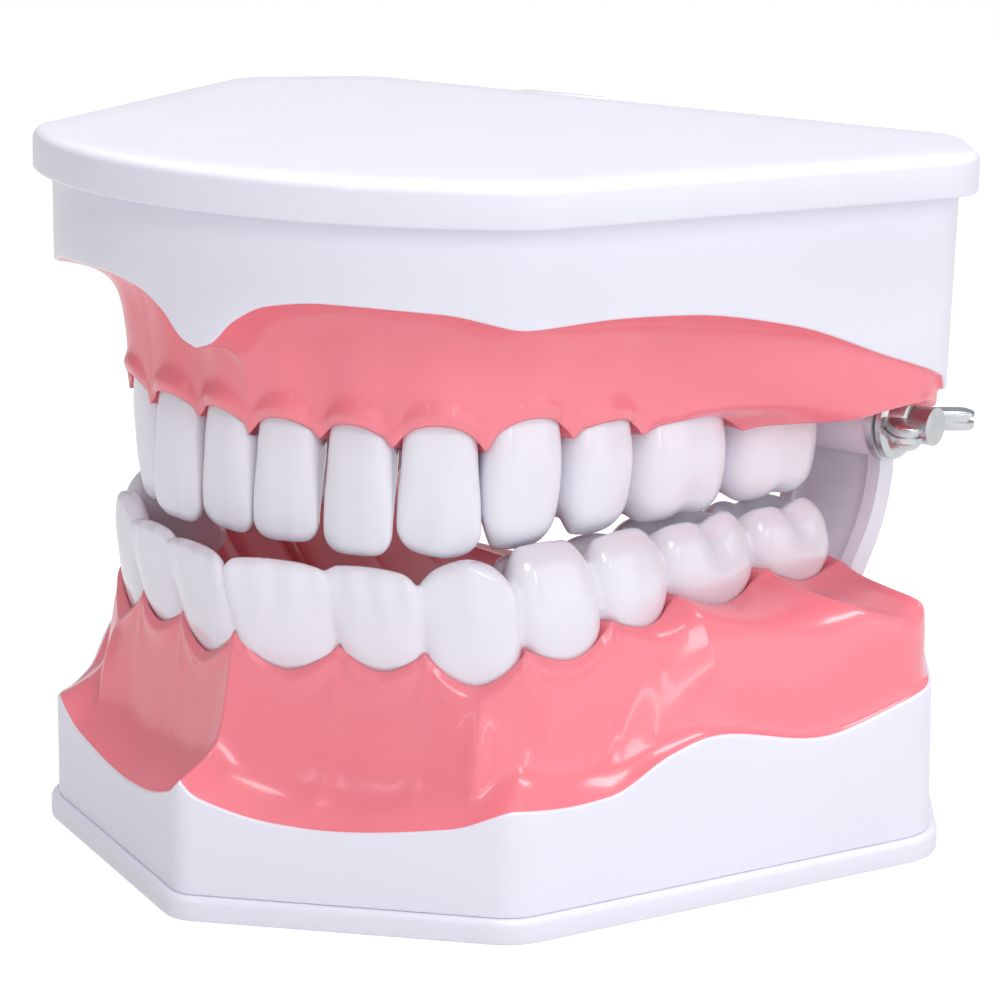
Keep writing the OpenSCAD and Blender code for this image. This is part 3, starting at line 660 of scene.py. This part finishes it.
def station(jaw, u):
    """One cut through the gum, from under the white edge over the ridge to the middle."""
    on_arch = u <= ARCH_U[jaw][-1][0]
    p, n = outline_and_normal(jaw, u)
    top = float(edge_h(jaw, u))
    edge = p + n * (WALL_IN[jaw] + DRAFT * top + 0.5)
    shape = SHELF_FIRST[jaw]
    shape = shape + (WALL_FIRST - shape) * float(step(u, *SHELF_ENDS[jaw]))
    shape = shape + (SQUARE_SHOULDER - shape) * float(step(u, *SHOULDER_STARTS))
    shape = shape + (FLAT_BACK - shape) * float(step(u, *BACK_STARTS))
    foot = polyline(FOOT[jaw], half_share(u))
    if on_arch:
        s = float(np.interp(u, *np.array(ARCH_U[jaw]).T))
        i, x, share, line = gum_line(jaw, s)
        mid, a = tooth_frame(jaw, i)
        along = np.array([math.cos(a), math.sin(a)])
        a_smooth = arch(jaw, s)[1]
        inward = np.array([-math.sin(a_smooth), math.cos(a_smooth)])
        tall = TEETH[jaw][i][2] - TEETH[jaw][i][3]
        w, cheek, d = crown_section(jaw, i, (line - TEETH[jaw][i][3]) / tall)
        at = min(abs(x) / w, 0.985) ** SQUARE
        y = cheek + d - d * (1 - at) ** (1 / SQUARE)
        y = min(float(y), float(cheek) + 1.1)
        y_in = cheek + 2 * d - (d - d * (1 - at) ** (1 / SQUARE)) * 0.5
        middle = math.cos(math.pi / 2 * min(1, abs(share))) ** 2
        loose = 0.25 + PROUD[jaw][i] * middle
        base = mid + along * x
        margin = base + inward * (y - loose)
        wall_top = arch(jaw, s)[0] + inward * 0.35
        lingual = base + inward * (float(y_in) + 0.15)
        lingual_z = LINGUAL_H[jaw] + 0.8 * abs(share) ** 2
        root = ROOTS[jaw][i] * middle
        canine_ridge = 0.9 * float(bump(x - 0.8, 1.6)) if jaw == BOTTOM and i == 2 else 0
        eminence = root + canine_ridge
        hidden = 1 - abs(share) ** 8
    else:
        t = (u - ARCH_U[jaw][-1][0]) / (3.5 - ARCH_U[jaw][-1][0])
        end = station_end(jaw)
        margin = polyline(np.array([end[0], *OUT_BACK[jaw]]), t ** 0.8)
        lingual = polyline(np.array([end[1], *IN_BACK[jaw]]), t ** 0.8)
        line = float(smooth_through(BACK_H[jaw], t)) + (PAPILLA[jaw][7] - BACK_H[jaw][0][1]) * (
            1 - float(step(t, 0, 0.12)))
        lingual_z = line + (LINGUAL_H[jaw] + 0.8 - PAPILLA[jaw][7]) * (1 - float(step(t, 0, 0.12)))
        inward = n
        eminence, hidden = 0, 0
        wall_top = margin
    return dict(wall_top=wall_top, edge=edge, top=top, n=n, shape=shape, margin=margin, line=line,
                lingual=lingual, lingual_z=lingual_z, inward=inward, eminence=eminence,
                hidden=hidden, foot=foot)


def half_share(u):
    """Place along the control curves inside the arch, 0 at the front and 1 at the back."""
    return float(np.interp(u, [0, 1, 2, 2.4, 3.5], [0, 0.333, 0.62, 0.7, 1.0]))


ENDS = {}


def station_end(jaw):
    if jaw not in ENDS:
        row = station(jaw, ARCH_U[jaw][-1][0])
        ENDS[jaw] = (row["margin"], row["lingual"])
    return ENDS[jaw]


def cut(jaw, u):
    """Points of one cut."""
    q = station(jaw, u)
    outer = spline(q["shape"], 46)
    plan = q["edge"] + outer[:, :1] * (q["wall_top"] - q["edge"])
    plan = plan + step(outer[:, 1:], 0.6, 1.0) ** 2 * (q["margin"] - q["wall_top"])
    z = q["top"] + 0.05 + outer[:, 1] * (q["line"] - q["top"])
    window = np.sin(math.pi * np.clip(outer[:, 1], 0, 1) ** 0.8) * step(outer[:, 0], 0.1, 0.6)
    plan = plan - window[:, None] * q["eminence"] * q["inward"]
    roll = 0.55 * q["hidden"] * bump(q["line"] - z - 1.6, 1.2) * step(z - q["top"], 2, 5)
    plan = plan - roll[:, None] * q["inward"]
    under = q["edge"] + q["n"] * 1.2
    start = np.array([[*under, q["top"] - 2.0], [*q["edge"], q["top"] - 2.0]])
    deep = 2.2 * q["hidden"]
    tuck = [(0.06, 0.55), (0.16, 1.0), (0.5, 1.15), (0.84, 1.0), (0.94, 0.55)]
    across = q["lingual"] - q["margin"]
    inner = [[*(q["margin"] + across * t), q["line"] + (q["lingual_z"] - q["line"]) * t - deep * k]
             for t, k in tuck]
    inner.append([*q["lingual"], q["lingual_z"]])
    fall = q["foot"] - q["lingual"]
    drop = q["lingual_z"] - FLOOR_H[jaw]
    fall_off = [(0, 0), (0.05, 0.1), (0.14, 0.3), (0.3, 0.6), (0.55, 0.88), (0.8, 0.98), (1, 1)]
    slope = spline(fall_off, 18)[1:]
    inner += [[*(q["lingual"] + fall * t), q["lingual_z"] - drop * k] for t, k in slope]
    return np.concatenate([start, np.column_stack([plan, z]), np.array(inner)])


def gum(jaw):
    end, s_end = ARCH_U[jaw][-1]
    s = np.linspace(0, s_end, 240)
    us = list(np.interp(s, [k[1] for k in ARCH_U[jaw]], [k[0] for k in ARCH_U[jaw]]))
    us += list(np.linspace(end, 3.5, 60)[1:])
    right = [cut(jaw, u) for u in us]
    left = [r * [-1, 1, 1] for r in right[1:-1]][::-1]
    rows = np.array(right + left)
    rings = rows.transpose(1, 0, 2)
    middle = np.array([0, 12, FLOOR_H[jaw]])
    return tube(rings, middle - [0, 0, 4], middle)


make("bottom_gum_moulding", gum(BOTTOM), LOWER_BODY, gum_pink, ["bottom_gum"])
points, faces = gum(TOP)
make("top_gum_moulding", (lifted(points), faces), UPPER_BODY, gum_pink, ["top_gum"])

# ---- wing nuts --------------------------------------------------------------------------------

nut_x = box_mm("wing_nut_right")[0][0]
BORE_R = 3.1
WING_HALF_T = 1.5


def rounded(plan, rounds=3):
    """A closed outline with its corners cut back again and again."""
    p = np.array(plan, float)
    for _ in range(rounds):
        after = np.roll(p, -1, axis=0)
        p = np.stack([0.8 * p + 0.2 * after, 0.2 * p + 0.8 * after], axis=1).reshape(-1, 2)
    return p


def wing_nut():
    """Right wing nut with the jaws closed: a flange, a low cone and two flared, grooved wings."""
    turn = np.linspace(0, 2 * math.pi, 64, endpoint=False)
    profile = [(0, BORE_R), (0, 5.6), (0.3, 5.95), (1.2, 5.95), (1.5, 5.6), (1.8, 5.0), (4.0, 4.2),
               (4.3, 3.8), (4.3, BORE_R)]
    body = tube([[(nut_x + h, hinge_y + r * math.cos(a), hinge_z + r * math.sin(a)) for a in turn]
                 for h, r in profile], looped=True)
    plan = rounded([(1.0, 3.2), (3.8, 2.6), (9.9, 7.4), (9.4, 9.4), (7.0, 10.6), (4.4, 8.6),
                    (1.4, 5.4)])
    middle = plan.mean(axis=0)
    layers = [(-WING_HALF_T, 0.9), (-1.3, 0.97), (-1.0, 1), (-0.3, 1), (-0.2, 0.84), (0.5, 0.84),
              (0.6, 1), (1.1, 1), (1.35, 0.97), (WING_HALF_T, 0.9)]
    wing = []
    for side in (-1, 1):
        at = [middle + (plan - middle) * k for _, k in layers]
        rings = [[(nut_x + x, hinge_y + side * y, hinge_z + z) for x, y in ring]
                 for ring, (z, _) in zip(at, layers)]
        tip = (nut_x + middle[0], hinge_y + side * middle[1])
        wing.append(tube(rings, (*tip, hinge_z - WING_HALF_T), (*tip, hinge_z + WING_HALF_T)))
    return joined([body, *wing])


right_nut = wing_nut()
for side, (points, faces) in (("right", right_nut), ("left", mirrored(right_nut))):
    make(f"wing_nut_{side}_casting", (opened(points), faces), f"wing_nut_{side}_body",
         zinc, [f"wing_nut_{side}"], sharp=40)

# ---- hardware kept from the CAD ---------------------------------------------------------------

record = frame["record"]
slot_of = {s["node"]: s["material_slot"] for s in record["subparts"]}
SLOT_MATERIAL = {"shell_white": shell_white, "tooth_white": tooth_white, "gum_pink": gum_pink,
                 "zinc_hardware": zinc}
for node, obj in frame["nodes"].items():
    if obj.hide_render:
        continue
    obj.data.materials.clear()
    obj.data.materials.append(SLOT_MATERIAL[slot_of[node]])
    bevel = obj.modifiers.new("edges", "BEVEL")
    bevel.width = 0.3 * MM
    bevel.segments = 3
    bevel.limit_method = "ANGLE"
    bevel.angle_limit = math.radians(35)
    bevel.harden_normals = False
    obj.data.shade_smooth()
    obj.data.set_sharp_from_angle(angle=math.radians(35))

# ---- floor, light and camera ------------------------------------------------------------------

floor_material = bpy.data.materials.new("floor")
floor_material.use_nodes = True
floor_shader = floor_material.node_tree.nodes["Principled BSDF"]
floor_shader.inputs["Base Color"].default_value = (0.3, 0.3, 0.3, 1)
floor_shader.inputs["Roughness"].default_value = 0.9
floor_shader.inputs["Emission Color"].default_value = (1, 1, 1, 1)
floor_nodes, floor_links = floor_material.node_tree.nodes, floor_material.node_tree.links
to_camera = floor_nodes.new("ShaderNodeLightPath")
glow = floor_nodes.new("ShaderNodeMapRange")
glow.inputs["To Min"].default_value = 0.5
glow.inputs["To Max"].default_value = 0.78
floor_links.new(to_camera.outputs["Is Camera Ray"], glow.inputs["Value"])
floor_links.new(glow.outputs["Result"], floor_shader.inputs["Emission Strength"])
floor_mesh = bpy.data.meshes.new("floor")
side = 6.0
floor_mesh.from_pydata([(-side, -side, 0), (side, -side, 0), (side, side, 0), (-side, side, 0)], [],
                       [(0, 1, 2, 3)])
floor_mesh.materials.append(floor_material)
floor = bpy.data.objects.new("floor", floor_mesh)
bpy.context.scene.collection.objects.link(floor)

world = bpy.data.worlds.new("studio")
bpy.context.scene.world = world
world.use_nodes = True
nodes, links = world.node_tree.nodes, world.node_tree.links
back = nodes["Background"]
back.inputs["Color"].default_value = (1, 1, 1, 1)
back.inputs["Strength"].default_value = 0.36
seen = nodes.new("ShaderNodeBackground")
seen.inputs["Strength"].default_value = 1.0
ray = nodes.new("ShaderNodeLightPath")
pick = nodes.new("ShaderNodeMixShader")
links.new(ray.outputs["Is Camera Ray"], pick.inputs["Fac"])
links.new(back.outputs["Background"], pick.inputs[1])
links.new(seen.outputs["Background"], pick.inputs[2])
links.new(pick.outputs["Shader"], nodes["World Output"].inputs["Surface"])


AIM = (0, 0, 0.055)


def softbox(name, place, size, watts):
    """Soft rectangular light that faces the middle of the object."""
    light = bpy.data.lights.new(name, "AREA")
    light.shape = "RECTANGLE"
    light.size, light.size_y = size
    light.energy = watts
    obj = bpy.data.objects.new(name, light)
    obj.location = place
    obj.rotation_euler = (Vector(AIM) - Vector(place)).to_track_quat("-Z", "Y").to_euler()
    bpy.context.scene.collection.objects.link(obj)


softbox("key", (0.55, -0.55, 0.75), (0.2, 0.35), 2.0)
softbox("right_fill", (1.0, 0.1, 0.35), (0.8, 0.8), 2.0)
softbox("top_fill", (0.05, 0.1, 1.2), (0.6, 0.6), 13.5)
softbox("front_fill", (0.1, -1.1, 0.4), (0.8, 0.5), 0.1)
softbox("camera_fill", (0.75, -0.7, 0.3), (0.6, 0.6), 0.75)
softbox("right_strip", (0.95, -0.45, 0.42), (0.05, 0.5), 0.7)
softbox("left_strip", (0.1, -1.0, 0.5), (0.05, 0.5), 0.3)

azimuth, elevation = math.radians(36.96), math.radians(14.67)
away = Vector((math.sin(azimuth) * math.cos(elevation), -math.cos(azimuth) * math.cos(elevation),
               math.sin(elevation)))
cam = bpy.data.cameras.new("camera")
cam.sensor_width = 36
cam.lens = 120.45
cam.clip_start, cam.clip_end = 0.01, 50
camera = bpy.data.objects.new("camera", cam)
bpy.context.scene.collection.objects.link(camera)
camera.location = (0.31163, -0.38947, 0.18222)
camera.rotation_mode = "QUATERNION"
camera.rotation_quaternion = (-away).to_track_quat("-Z", "Y")
bpy.context.scene.camera = camera
bpy.context.scene.view_settings.view_transform = "Standard"
